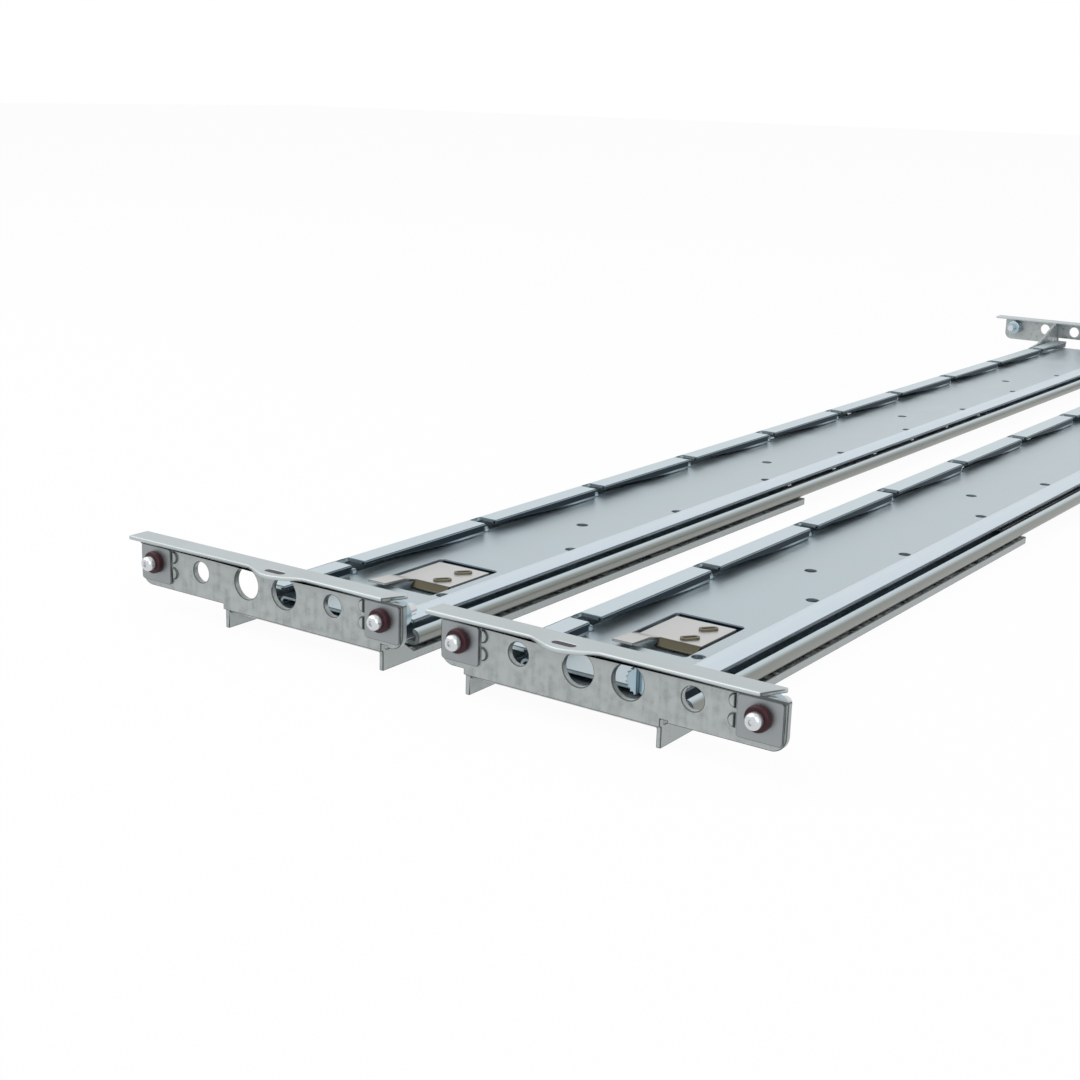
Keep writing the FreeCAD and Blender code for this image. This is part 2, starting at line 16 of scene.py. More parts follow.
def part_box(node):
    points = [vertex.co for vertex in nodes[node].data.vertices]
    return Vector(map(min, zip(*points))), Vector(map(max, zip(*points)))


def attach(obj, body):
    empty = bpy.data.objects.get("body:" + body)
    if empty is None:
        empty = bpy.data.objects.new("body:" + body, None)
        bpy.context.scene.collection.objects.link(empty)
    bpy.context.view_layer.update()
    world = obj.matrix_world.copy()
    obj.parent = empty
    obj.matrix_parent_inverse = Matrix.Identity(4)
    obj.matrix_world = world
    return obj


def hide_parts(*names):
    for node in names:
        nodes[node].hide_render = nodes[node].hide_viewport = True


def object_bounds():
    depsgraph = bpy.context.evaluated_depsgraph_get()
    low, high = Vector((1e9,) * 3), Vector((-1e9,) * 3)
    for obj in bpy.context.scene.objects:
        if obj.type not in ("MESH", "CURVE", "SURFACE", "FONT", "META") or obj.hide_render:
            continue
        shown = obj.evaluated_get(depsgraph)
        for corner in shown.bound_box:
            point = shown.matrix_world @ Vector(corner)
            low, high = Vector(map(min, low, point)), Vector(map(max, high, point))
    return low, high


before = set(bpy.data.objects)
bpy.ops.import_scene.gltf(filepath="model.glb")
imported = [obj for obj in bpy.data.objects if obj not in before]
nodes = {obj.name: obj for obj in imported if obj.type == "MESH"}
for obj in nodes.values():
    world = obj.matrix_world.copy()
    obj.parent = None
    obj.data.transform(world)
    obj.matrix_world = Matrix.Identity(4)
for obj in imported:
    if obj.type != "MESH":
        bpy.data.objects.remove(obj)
cad_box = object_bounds()
SIDES = ("left", "right")
print("nodes:", len(nodes), "box:", [list(corner) for corner in cad_box])

# %% [markdown]
# ## Places taken from the frame
#
# Everything is placed from the boxes of the CAD nodes, so the dressing follows the
# construction when a size changes.

# %% Read the places that later steps need
MM = 0.001


def pin_axes(side, end):
    """The two pin axes, (y, z), of one end plate."""
    low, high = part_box(side + "_" + end + "_pins")
    radius = (high[2] - low[2]) / 2
    level = (high[2] + low[2]) / 2
    return [(high[1] - radius, level), (low[1] + radius, level)]


def rail_middle(side):
    """The y of a rail's centre line."""
    low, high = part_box(side + "_outer_channel")
    return (low[1] + high[1]) / 2


def body_of(side, end):
    """The body that carries one end plate."""
    return side + "_rear_bracket" if end == "rear" else "fixed_rails"


def inwards(end):
    """The direction along X from a plate's face to its rail."""
    return 1 if end == "rear" else -1


left_pin = pin_axes("left", "rear")[0]
pin_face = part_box("left_rear_pads")[1][0]
print("left rear pin axis:", left_pin, "plate face x:", pin_face)

# %% [markdown]
# ## Camera
#
# The camera stands beside the rear plates, low and to the right, and looks along the
# rails. Its place is measured from the left plate's outer pin, so that it keeps the same
# view of the plates if the rails get longer.

# %% Place the camera
CAMERA_FROM_PIN = Vector((-286.4, -321.5, 121.1)) * MM
CAMERA_HEADING = math.radians(35.1)      # from +X towards +Y
CAMERA_FALL = math.radians(15.06)        # below the horizon
CAMERA_ROLL = math.radians(1.5)
CAMERA_LENS = 56.4                       # mm
CAMERA_SENSOR = 36                       # mm
CAMERA_NEAR = 0.01


def new_object(name, data):
    """Make an object of some data and put it in the scene."""
    made = bpy.data.objects.new(name, data)
    bpy.context.scene.collection.objects.link(made)
    return made


def place_camera():
    """Build the camera's axes from its heading, fall and roll."""
    forward = Vector((
        math.cos(CAMERA_HEADING) * math.cos(CAMERA_FALL),
        math.sin(CAMERA_HEADING) * math.cos(CAMERA_FALL),
        -math.sin(CAMERA_FALL),
    ))
    level = forward.cross(Vector((0, 0, 1))).normalized()
    upright = level.cross(forward)
    right = level * math.cos(CAMERA_ROLL) + upright * math.sin(CAMERA_ROLL)
    up = upright * math.cos(CAMERA_ROLL) - level * math.sin(CAMERA_ROLL)
    data = bpy.data.cameras.new("camera")
    data.lens = CAMERA_LENS
    data.sensor_width = CAMERA_SENSOR
    data.clip_start = CAMERA_NEAR
    camera = new_object("camera", data)
    turn = Matrix((right, up, -forward)).transposed().to_4x4()
    pin = Vector((pin_face, left_pin[0], left_pin[1]))
    camera.matrix_world = Matrix.Translation(pin + CAMERA_FROM_PIN) @ turn
    bpy.context.scene.camera = camera
    return camera


camera = place_camera()
print("camera at", [round(v, 4) for v in camera.matrix_world.translation])

# %% [markdown]
# ## Node helpers
#
# Materials and Geometry Nodes are both built from nodes. One short helper adds a node,
# sets its values and joins its inputs, so that each tree below reads from top to bottom.

# %% Helpers for nodes


def add(tree, kind, inputs=None, **settings):
    """Add a node, set its properties, and give or link its inputs."""
    node = tree.nodes.new(kind)
    for name, value in settings.items():
        setattr(node, name, value)
    for key, value in (inputs or {}).items():
        if isinstance(value, bpy.types.NodeSocket):
            tree.links.new(value, node.inputs[key])
        else:
            node.inputs[key].default_value = value
    return node


def shader_group(name, inputs, outputs):
    """An empty shader group with named sockets, and its input and output nodes."""
    tree = bpy.data.node_groups.new(name, "ShaderNodeTree")
    for label, kind, value in inputs:
        socket = tree.interface.new_socket(label, in_out="INPUT", socket_type=kind)
        if value is not None:
            socket.default_value = value
    for label, kind in outputs:
        tree.interface.new_socket(label, in_out="OUTPUT", socket_type=kind)
    return tree, tree.nodes.new("NodeGroupInput"), tree.nodes.new("NodeGroupOutput")


def empty_material(name):
    """A material with an empty node tree."""
    material = bpy.data.materials.new(name)
    material.use_nodes = True
    material.node_tree.nodes.clear()
    return material, material.node_tree


print("node helpers ready")

# %% [markdown]
# ## Rolled sheet grain
#
# Zinc-plated sheet carries two marks: long faint lines from the rolling mill, and soft
# clouds where the plating is a little thicker. Both are used by every sheet part, so they
# are one group with its own values in each material. The lines are a noise stretched
# along one axis, and the clouds are a plain noise.

# %% Build the sheet grain group
GRAIN_ROUGHENS = 1.5                     # how much more the grain moves roughness than colour


def build_sheet_grain():
    """Colour, roughness and height of rolled and plated sheet."""
    tree, start, end = shader_group(
        "Sheet Grain",
        [
            ("Vector", "NodeSocketVector", None),
            ("Colour", "NodeSocketColor", (0.6, 0.65, 0.7, 1)),
            ("Cloud", "NodeSocketFloat", 0.06),
            ("Cloud Scale", "NodeSocketFloat", 60.0),
            ("Line", "NodeSocketFloat", 0.05),
            ("Line Scale", "NodeSocketFloat", 900.0),
            ("Stretch", "NodeSocketVector", (0.02, 1.0, 1.0)),
            ("Roughness", "NodeSocketFloat", 0.35),
        ],
        [
            ("Colour", "NodeSocketColor"),
            ("Roughness", "NodeSocketFloat"),
            ("Height", "NodeSocketFloat"),
        ],
    )
    vector = start.outputs["Vector"]
    clouds = add(tree, "ShaderNodeTexNoise", {
        "Vector": vector, "Scale": start.outputs["Cloud Scale"], "Detail": 3.0})
    drawn = add(tree, "ShaderNodeVectorMath", {0: vector, 1: start.outputs["Stretch"]},
                operation="MULTIPLY")
    lines = add(tree, "ShaderNodeTexNoise", {
        "Vector": drawn.outputs[0], "Scale": start.outputs["Line Scale"], "Detail": 4.0})
    cloud_swing = add(tree, "ShaderNodeMath", {0: clouds.outputs["Fac"], 1: 0.5},
                      operation="SUBTRACT")
    line_swing = add(tree, "ShaderNodeMath", {0: lines.outputs["Fac"], 1: 0.5},
                     operation="SUBTRACT")
    cloud_part = add(tree, "ShaderNodeMath", {
        0: cloud_swing.outputs[0], 1: start.outputs["Cloud"]}, operation="MULTIPLY")
    line_part = add(tree, "ShaderNodeMath", {
        0: line_swing.outputs[0], 1: start.outputs["Line"]}, operation="MULTIPLY")
    change = add(tree, "ShaderNodeMath", {
        0: cloud_part.outputs[0], 1: line_part.outputs[0]}, operation="ADD")
    level = add(tree, "ShaderNodeMath", {0: change.outputs[0], 1: 1.0}, operation="ADD")
    shade = add(tree, "ShaderNodeVectorMath", {
        0: start.outputs["Colour"], "Scale": level.outputs[0]}, operation="SCALE")
    rough = add(tree, "ShaderNodeMath", {
        0: change.outputs[0], 1: GRAIN_ROUGHENS, 2: start.outputs["Roughness"]},
        operation="MULTIPLY_ADD")
    tree.links.new(shade.outputs[0], end.inputs["Colour"])
    tree.links.new(rough.outputs[0], end.inputs["Roughness"])
    tree.links.new(lines.outputs["Fac"], end.inputs["Height"])
    return tree


sheet_grain = build_sheet_grain()
print("sheet grain inputs:", len(sheet_grain.interface.items_tree))

# %% [markdown]
# ## Painted shade and highlight
#
# The metal is painted darker in narrow gaps and on faces turned away from the light, and
# lighter on the slide's rounded crown: painted shade and a painted highlight. A box on
# Object coordinates says where: the mask is 1 inside the box and fades to 0 over a soft
# border. The box can repeat along X. Several finishes use it, so it is a group too.

# %% Build the shade box group
ONCE = 10.0                              # a pitch so long, in metres, that nothing repeats


def build_shade_box():
    """A mask that is 1 inside a box, repeated along X, and fades to 0 outside it."""
    tree, start, end = shader_group(
        "Shade Box",
        [
            ("Vector", "NodeSocketVector", None),
            ("Centre", "NodeSocketVector", (0, 0, 0)),
            ("Half Size", "NodeSocketVector", (0.01, 0.01, 0.01)),
            ("Border", "NodeSocketVector", (0.0005, 0.0005, 0.0005)),
            ("Pitch", "NodeSocketFloat", ONCE),
        ],
        [("Mask", "NodeSocketFloat")],
    )
    away = add(tree, "ShaderNodeVectorMath", {
        0: start.outputs["Vector"], 1: start.outputs["Centre"]}, operation="SUBTRACT")
    parts = add(tree, "ShaderNodeSeparateXYZ", {0: away.outputs[0]})
    half_pitch = add(tree, "ShaderNodeMath", {0: start.outputs["Pitch"], 1: 0.5},
                     operation="MULTIPLY")
    back = add(tree, "ShaderNodeMath", {0: half_pitch.outputs[0], 1: -1.0},
               operation="MULTIPLY")
    wrapped = add(tree, "ShaderNodeMath", {
        0: parts.outputs[0], 1: half_pitch.outputs[0], 2: back.outputs[0]}, operation="WRAP")
    joined = add(tree, "ShaderNodeCombineXYZ", {
        0: wrapped.outputs[0], 1: parts.outputs[1], 2: parts.outputs[2]})
    size = add(tree, "ShaderNodeVectorMath", {0: joined.outputs[0]}, operation="ABSOLUTE")
    past = add(tree, "ShaderNodeVectorMath", {
        0: size.outputs[0], 1: start.outputs["Half Size"]}, operation="SUBTRACT")
    share = add(tree, "ShaderNodeVectorMath", {
        0: past.outputs[0], 1: start.outputs["Border"]}, operation="DIVIDE")
    ends = add(tree, "ShaderNodeSeparateXYZ", {0: share.outputs[0]})
    flat = add(tree, "ShaderNodeMath", {0: ends.outputs[0], 1: ends.outputs[1]},
               operation="MAXIMUM")
    most = add(tree, "ShaderNodeMath", {0: flat.outputs[0], 1: ends.outputs[2]},
               operation="MAXIMUM")
    fade = add(tree, "ShaderNodeMapRange", {
        "Value": most.outputs[0], "From Min": 0.0, "From Max": 1.0,
        "To Min": 1.0, "To Max": 0.0}, interpolation_type="SMOOTHSTEP")
    tree.links.new(fade.outputs[0], end.inputs["Mask"])
    return tree


shade_box = build_shade_box()
print("shade box inputs:", len(shade_box.interface.items_tree))

# %% [markdown]
# ## Metal finishes
#
# Plated steel is a metal with a fairly rough surface, so it mirrors the light softly. The
# channel is a cold blue-grey, the brackets a warmer grey with streaks where the plating
# ran down, the latch leaf bare spring steel, and the pins bright.

# %% Build the metal materials
RELIEF_DEPTH = 0.1 * MM                  # the height of the finest surface relief
MIX_SHARE, MIX_UNDER, MIX_OVER = 0, 6, 7  # the Mix node's colour inputs, by number
MIX_RESULT = 2


def metal(name, colour, roughness, cloud=0.06, line=0.05, stretch=(0.02, 1.0, 1.0),
          metallic=0.9, bump=0.15, line_scale=900.0, cloud_scale=60.0, shades=()):
    """A metal finish. A shade is (centre, half size, border, colour, pitch)."""
    material, tree = empty_material(name)
    place = add(tree, "ShaderNodeTexCoord")
    grain = add(tree, "ShaderNodeGroup", node_tree=sheet_grain)
    values = {
        "Colour": (*colour, 1), "Cloud": cloud, "Line": line, "Stretch": stretch,
        "Roughness": roughness, "Line Scale": line_scale, "Cloud Scale": cloud_scale,
    }
    for key, value in values.items():
        grain.inputs[key].default_value = value
    tree.links.new(place.outputs["Object"], grain.inputs["Vector"])
    relief = add(tree, "ShaderNodeBump", {
        "Height": grain.outputs["Height"], "Strength": bump, "Distance": RELIEF_DEPTH})
    shown = grain.outputs["Colour"]
    # each box mixes a painted shade or painted highlight tint into the colour
    for centre, half, border, tint, pitch in shades:
        mask = add(tree, "ShaderNodeGroup", node_tree=shade_box)
        tree.links.new(place.outputs["Object"], mask.inputs["Vector"])
        values = {"Centre": centre, "Half Size": half, "Border": border, "Pitch": pitch}
        for key, value in values.items():
            mask.inputs[key].default_value = value
        blend = add(tree, "ShaderNodeMix", data_type="RGBA")
        tree.links.new(mask.outputs["Mask"], blend.inputs[MIX_SHARE])
        tree.links.new(shown, blend.inputs[MIX_UNDER])
        blend.inputs[MIX_OVER].default_value = (*tint, 1)
        shown = blend.outputs[MIX_RESULT]
    surface = add(tree, "ShaderNodeBsdfPrincipled", {
        "Base Color": shown,
        "Roughness": grain.outputs["Roughness"],
        "Metallic": metallic,
        "Normal": relief.outputs["Normal"],
    })
    add(tree, "ShaderNodeOutputMaterial", {"Surface": surface.outputs[0]})
    return material


# Tints of the painted shade and of the painted highlight below.
NAVY_SHADE = (0.018, 0.030, 0.042)
OLIVE_SHADE = (0.060, 0.055, 0.035)
MOSS_SHADE = (0.25, 0.262, 0.245)
CROWN_HIGHLIGHT = (0.57, 0.65, 0.71)
WEDGE_PITCH = 58.8 * MM
# Places, half sizes and borders are in mm: x from the rear plate's face, y from the rail's
# middle, z from the floor.
SHADES = {
    # painted shade: the dark gap under each notched lip segment, widest at its notch, repeating
    # along the rail
    "lip edge": ((71.9, 18.4, 7.9), (26.9, 0.9, 0.75), (0.5, 0.2, 0.3), NAVY_SHADE, WEDGE_PITCH),
    "wedge": ((60.0, 18.4, 6.8), (13, 0.9, 1.0), (18, 0.2, 0.3), NAVY_SHADE, WEDGE_PITCH),
    # painted shade on the channel's right wall, which faces away from the light
    "right wall": ((300.0, -25.0, 3.2), (400, 2.4, 2.6), (1, 0.4, 0.9), MOSS_SHADE, ONCE),
    # painted highlight on the slide's rounded crown, where light falls on the bend
    "crown": ((300.0, -18.6, 8.0), (400, 3.4, 2.0), (1, 2.2, 1.0), CROWN_HIGHLIGHT, ONCE),
    # painted shade in the gap at the front of the latch leaf's window
    "window": ((67.9, 1.4, 4.9), (1.5, 9, 2.2), (0.3, 0.3, 0.3), NAVY_SHADE, ONCE),
    # painted shade on the latch leaf's bent-down step, turned from the light
    "leaf step": ((48.0, -1.6, 4.0), (1.4, 5.6, 2), (0.5, 0.5, 0.5), OLIVE_SHADE, ONCE),
}


def shade_boxes(*names):
    """The named shades on both rails."""
    found = []
    for name in names:
        (x, y, z), half, border, tint, pitch = SHADES[name]
        for side in SIDES:
            spot = Vector((pin_face + x * MM, rail_middle(side) + y * MM, z * MM))
            found.append((spot, Vector(half) * MM, Vector(border) * MM, tint, pitch))
    return found


print("shades on each rail:", list(SHADES))

# %% Mix each metal
# The channel, slide and leaf take boxes of painted shade, and the slide a painted highlight.
channel_zinc = metal("channel_zinc", (0.51, 0.60, 0.64), 0.34,
                     shades=shade_boxes("lip edge", "wedge", "right wall"))
slide_zinc = metal("slide_zinc", (0.44, 0.515, 0.55), 0.36, cloud=0.18, line=0.10,
                   shades=shade_boxes("crown", "window"))
bracket_zinc = metal("bracket_zinc", (0.375, 0.40, 0.40), 0.44, cloud=0.85, line=0.60,
                     stretch=(1.0, 1.0, 0.12), line_scale=700.0, cloud_scale=420.0)
lip_zinc = metal("lip_zinc", (0.47, 0.51, 0.52), 0.50, cloud=0.14, stretch=(1.0, 0.02, 1.0))
pad_steel = metal("pad_steel", (0.30, 0.32, 0.33), 0.45, cloud=0.14, cloud_scale=300.0)
bright_steel = metal("bright_steel", (0.62, 0.64, 0.66), 0.22, cloud=0.03, line=0.03)
barrel_zinc = metal("barrel_zinc", (0.36, 0.47, 0.53), 0.30)
leaf_steel = metal("leaf_steel", (0.545, 0.55, 0.54), 0.38, cloud=0.12,
                   shades=shade_boxes("leaf step"))
mark_brown = metal("mark_brown", (0.15, 0.135, 0.095), 0.40)
# Dark finishes for the bevelled sheet edges: painted shade along the edges.
rail_edge_shade = metal("rail_edge_shade", (0.10, 0.135, 0.165), 0.40)
bracket_edge_shade = metal("bracket_edge_shade", (0.11, 0.125, 0.125), 0.45, cloud=0.30)
leaf_edge_shade = metal("leaf_edge_shade", (0.13, 0.12, 0.10), 0.40)
# A near-black finish for the floor of the ear's slot: painted shade.
slot_shade = metal("slot_shade", (0.035, 0.028, 0.040), 0.55, metallic=0.2)
print("metals:", [m.name for m in bpy.data.materials])

# %% [markdown]
# ## Coloured collars
#
# The short collars on the pins are dyed a deep wine red. They are smooth and slightly
# glossy, with a fine mottling so that they don't look printed.

# %% Build the collar material
COLLAR_DARK = (0.012, 0.002, 0.004, 1)
COLLAR_LIGHT = (0.050, 0.004, 0.011, 1)
COLLAR_MOTTLE = 700.0


def collar_finish():
    """Deep red, slightly mottled, with a clear gloss."""
    material, tree = empty_material("collar_red")
    place = add(tree, "ShaderNodeTexCoord")
    mottle = add(tree, "ShaderNodeTexNoise", {
        "Vector": place.outputs["Object"], "Scale": COLLAR_MOTTLE, "Detail": 3.0})
    colour = add(tree, "ShaderNodeValToRGB", {"Fac": mottle.outputs["Fac"]})
    colour.color_ramp.elements[0].color = COLLAR_DARK
    colour.color_ramp.elements[1].color = COLLAR_LIGHT
    relief = add(tree, "ShaderNodeBump", {
        "Height": mottle.outputs["Fac"], "Strength": 0.1, "Distance": RELIEF_DEPTH})
    surface = add(tree, "ShaderNodeBsdfPrincipled", {
        "Base Color": colour.outputs["Color"],
        "Roughness": 0.32,
        "Specular IOR Level": 0.30,
        "Normal": relief.outputs["Normal"],
    })
    add(tree, "ShaderNodeOutputMaterial", {"Surface": surface.outputs[0]})
    return material


collar_red = collar_finish()
print("collar material:", collar_red.name)

# %% [markdown]
# ## Softened sheet edges
#
# A punched and folded sheet never has a razor edge. The CAD mesh is loose triangles, so a
# Geometry Nodes tree first joins them and shades the bends smoothly, and a small bevel
# then rounds every sharp edge. On the lips the rounding catches the light; on most other
# parts the bevel's faces take a dark finish, painted shade along the sheet edges.

# %% Build the smoothing tree
JOIN_DISTANCE = 0.01 * MM
SHARP_ABOVE = math.radians(30)


def build_smoothing():
    """Join loose triangles and shade smoothly below a named angle."""
    tree = bpy.data.node_groups.new("Join and Smooth", "GeometryNodeTree")
    tree.interface.new_socket("Geometry", in_out="INPUT", socket_type="NodeSocketGeometry")
    gap = tree.interface.new_socket("Join Distance", in_out="INPUT",
                                    socket_type="NodeSocketFloat")
    gap.default_value = JOIN_DISTANCE
    bend = tree.interface.new_socket("Sharp Above", in_out="INPUT",
                                     socket_type="NodeSocketFloat")
    bend.default_value = SHARP_ABOVE
    tree.interface.new_socket("Geometry", in_out="OUTPUT", socket_type="NodeSocketGeometry")
    start = tree.nodes.new("NodeGroupInput")
    end = tree.nodes.new("NodeGroupOutput")
    joined = add(tree, "GeometryNodeMergeByDistance", {
        "Geometry": start.outputs["Geometry"], "Distance": start.outputs["Join Distance"]})
    faces = add(tree, "GeometryNodeSetShadeSmooth", {"Geometry": joined.outputs[0]},
                domain="FACE")
    angle = add(tree, "GeometryNodeInputMeshEdgeAngle")
    soft = add(tree, "FunctionNodeCompare", {
        0: angle.outputs["Unsigned Angle"], 1: start.outputs["Sharp Above"]},
        operation="LESS_THAN", data_type="FLOAT")
    edges = add(tree, "GeometryNodeSetShadeSmooth", {
        "Geometry": faces.outputs[0], "Shade Smooth": soft.outputs[0]}, domain="EDGE")
    tree.links.new(edges.outputs[0], end.inputs["Geometry"])
    return tree


smoothing = build_smoothing()
print("smoothing tree nodes:", len(smoothing.nodes))

# %% Dress the CAD nodes that keep their shape
EDGE_SOFTNESS = 0.22 * MM
SMALL_SOFTNESS = 0.05 * MM
THIN_SOFTNESS = 0.10 * MM
PAD_SOFTNESS = 0.15 * MM
FLAT_BELOW = math.radians(0.5)
ROUND_ABOVE = math.radians(50)


def soften(piece, width, segments, clamp):
    """Round a piece's sharp edges with a small bevel."""
    bevel = piece.modifiers.new("soften", "BEVEL")
    bevel.width = width
    bevel.segments = segments
    bevel.use_clamp_overlap = clamp
    bevel.limit_method = "ANGLE"
    bevel.angle_limit = ROUND_ABOVE
    return bevel


def dress(node, material, softness=EDGE_SOFTNESS, edge=None, clamp=False):
    """Give a CAD node its finish, smooth bends, and soft edges; `edge` is painted edge shade."""
    piece = nodes[node]
    for slot in piece.material_slots:
        slot.material = material
    if edge:
        piece.data.materials.append(edge)
    join = piece.modifiers.new("join", "NODES")
    join.node_group = smoothing
    if softness:
        flatten = piece.modifiers.new("flatten", "DECIMATE")
        flatten.decimate_type = "DISSOLVE"
        flatten.angle_limit = FLAT_BELOW
        bevel = soften(piece, softness, 2, clamp)
        bevel.harden_normals = True
        # the bevel's faces take the edge finish: painted shade along the sheet edges
        if edge:
            bevel.material = len(piece.material_slots) - 1


for side in SIDES:
    dress(side + "_outer_channel", channel_zinc, edge=rail_edge_shade)
    dress(side + "_sliding_member", slide_zinc, edge=rail_edge_shade)
    dress(side + "_rear_arm", bracket_zinc, edge=bracket_edge_shade)
    dress(side + "_front_bracket", bracket_zinc, edge=bracket_edge_shade, clamp=True)
    dress(side + "_latch_leaf", leaf_steel, THIN_SOFTNESS, leaf_edge_shade)
    dress(side + "_latch_rivets", mark_brown, SMALL_SOFTNESS)
    dress(side + "_ball_cages", bright_steel, SMALL_SOFTNESS)
    dress(side + "_depth_guides", bright_steel)
    dress(side + "_front_rivets", bright_steel)
    for end in ("rear", "front"):
        dress(side + "_" + end + "_pads", pad_steel, PAD_SOFTNESS, bracket_edge_shade)
dress("right_captive_screw", barrel_zinc, THIN_SOFTNESS, rail_edge_shade)
print("dressed CAD nodes")

# %% [markdown]
# ## Turned pins, collars and barrels
#
# Pins, collars and spring barrels are turned parts, so each is a profile spun about the
# pin's axis. A profile is a list of (distance along the axis, radius), and the spin gives
# it enough sides to look round up close.

# %% Spin a profile about a pin's axis
TURN_SIDES = 48
RIM_STEPS = 4
ON_AXIS = 1e-7                           # a radius below this is a single point
TURN_SHARP = math.radians(35)


def turned(name, profiles, material, body):
    """Spin closed profiles about axes along X into one piece. Each is (points, y, z)."""
    mesh = bpy.data.meshes.new(name)
    shape = bmesh.new()
    for points, y, z in profiles:
        rings = []
        for x, radius in points:
            if radius < ON_AXIS:
                rings.append([shape.verts.new((x, y, z))])
                continue
            ring = []
            for i in range(TURN_SIDES):
                angle = 2 * math.pi * i / TURN_SIDES
                spot = (x, y + radius * math.cos(angle), z + radius * math.sin(angle))
                ring.append(shape.verts.new(spot))
            rings.append(ring)
        closed = len(rings[0]) > 1
        pairs = list(zip(rings, rings[1:])) + ([(rings[-1], rings[0])] if closed else [])
        for first, second in pairs:
            for i in range(TURN_SIDES):
                j = (i + 1) % TURN_SIDES
                corners = [first[i % len(first)], first[j % len(first)],
                           second[j % len(second)], second[i % len(second)]]
                unique = list(dict.fromkeys(corners))
                if len(unique) > 2:
                    shape.faces.new(unique)
    bmesh.ops.recalc_face_normals(shape, faces=shape.faces)
    for face in shape.faces:
        face.smooth = True
    for edge in shape.edges:
        edge.smooth = edge.calc_face_angle(0) < TURN_SHARP
    shape.to_mesh(mesh)
    shape.free()
    piece = new_object(name, mesh)
    mesh.materials.append(material)
    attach(piece, body)
    return piece


def arc_points(x, radius, corner, towards):
    """A rounded rim: from the end face at x round to the full radius, `towards` the body."""
    points = []
    for step in range(RIM_STEPS + 1):
        angle = math.pi / 2 * step / RIM_STEPS
        along = x + towards * corner * (1 - math.cos(angle))
        points.append((along, radius - corner + corner * math.sin(angle)))
    return points


print("turning helper ready")

# %% Turn the pins, collars and barrels of all four plates
TIP_CORNER = 0.95 * MM
DIMPLE_RADIUS = 0.7 * MM
DIMPLE_DEPTH = 0.5 * MM
DIMPLE_FLOOR = (0.9, 0.8)                # shares of the dimple's depth and radius
RIM = 0.45 * MM
BARREL_SHOWN = 5.0 * MM
SHAFT_STEP = 0.4 * MM
SHAFT_FIT = 0.05 * MM
TIP_GAP = 0.15 * MM


def pin_profile(tip, shoulder, back, radius, towards):
    """A pin with a dimpled, rounded tip on a thinner shaft with a flat back."""
    shaft = radius - SHAFT_STEP
    deep, wide = DIMPLE_FLOOR
    points = [(tip + towards * DIMPLE_DEPTH, 0.0),
              (tip + towards * DIMPLE_DEPTH * deep, DIMPLE_RADIUS * wide),
              (tip, DIMPLE_RADIUS)]
    points += arc_points(tip, radius, TIP_CORNER, towards)
    points += [(shoulder, radius), (shoulder, shaft), (back, shaft), (back, 0.0)]
    return points


def tube_profile(near, far, outer, inner):
    """A ring with rounded rims, between two places along its axis."""
    towards = 1 if far > near else -1
    outside = arc_points(near, outer, RIM, towards)
    back = arc_points(far, outer, RIM, -towards)
    return [(near, inner)] + outside + back[::-1] + [(far, inner)]


def plate_end(side, end):
    """Replace one plate's pins, collars and barrels by turned pieces."""
    body = body_of(side, end)
    towards = inwards(end)
    outer = 0 if end == "rear" else 1
    axes = pin_axes(side, end)
    prefix = side + "_" + end + "_"
    pin_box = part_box(prefix + "pins")
    pin_radius = (pin_box[1][2] - pin_box[0][2]) / 2
    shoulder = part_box(prefix + "collars")[outer][0] - towards * TIP_GAP
    profile = pin_profile(pin_box[outer][0], shoulder, pin_box[1 - outer][0],
                          pin_radius, towards)
    pieces = [turned(prefix + "turned_pins", [(profile, y, z) for y, z in axes],
                     bright_steel, body)]
    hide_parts(prefix + "pins")
    for kind, material, slot in (("collars", collar_red, "maroon_collar"),
                                 ("barrels", barrel_zinc, "bright_steel")):
        low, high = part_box(prefix + kind)
        rim = (high[2] - low[2]) / 2
        ends = (low[0], high[0]) if towards > 0 else (high[0], low[0])
        if kind == "barrels":
            ends = (ends[0], ends[0] + towards * BARREL_SHOWN)
        profile = tube_profile(ends[0], ends[1], rim, pin_radius - SHAFT_STEP + SHAFT_FIT)
        piece = turned(prefix + "turned_" + kind, [(profile, y, z) for y, z in axes],
                       material, body)
        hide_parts(prefix + kind)
        pieces.append(piece)
    return pieces


for side in SIDES:
    for end in ("rear", "front"):
        print(side, end, [piece.name for piece in plate_end(side, end)])

# %% [markdown]
# ## Rolled lips of the plates
#
# The top of each plate is folded over, so its front edge is round, and an ear with a slot
# bulges out of it. The CAD lip is square, so a rolled lip is laid round it: an outline with
# a hole, filled, raised and bevelled. A thin dark strip under it is painted shade in the
# fold's inner corner, and a near-black floor just below the slot's top is painted shade.

# %% Outline helpers for the lips
LIP_SKIN = 0.12 * MM                     # how far the rolled lip stands outside the CAD lip
LIP_THICK = 1.1 * MM
LIP_DEPTH = 5.6 * MM
LIP_FRONT = 0.5 * MM
LIP_PAST_LEFT = 4.3 * MM
LIP_SHORT_RIGHT = 3.0 * MM
LIP_TAPER = 3.4 * MM
PLATE_HALF = 44.0 * MM
EAR_HALF = 9.5 * MM
EAR_REACH = 3.4 * MM
EAR_SWELL = 0.75                         # below 1 the ear's bulge is fuller
EAR_SLOT = (2.9 * MM, 0.95 * MM)         # half length, half width
SLOT_OUT = 0.4 * MM                      # how far the slot's middle is in front of the plate
SLOT_SIDES = 24
CAD_SLOT_HALF = 4.4 * MM
EAR_FROM_MIDDLE = {"left": 7.5 * MM, "right": -1.5 * MM}
EAR_STEPS = 28
FLAT_FILL = math.radians(1)              # triangles flatter than this become one face


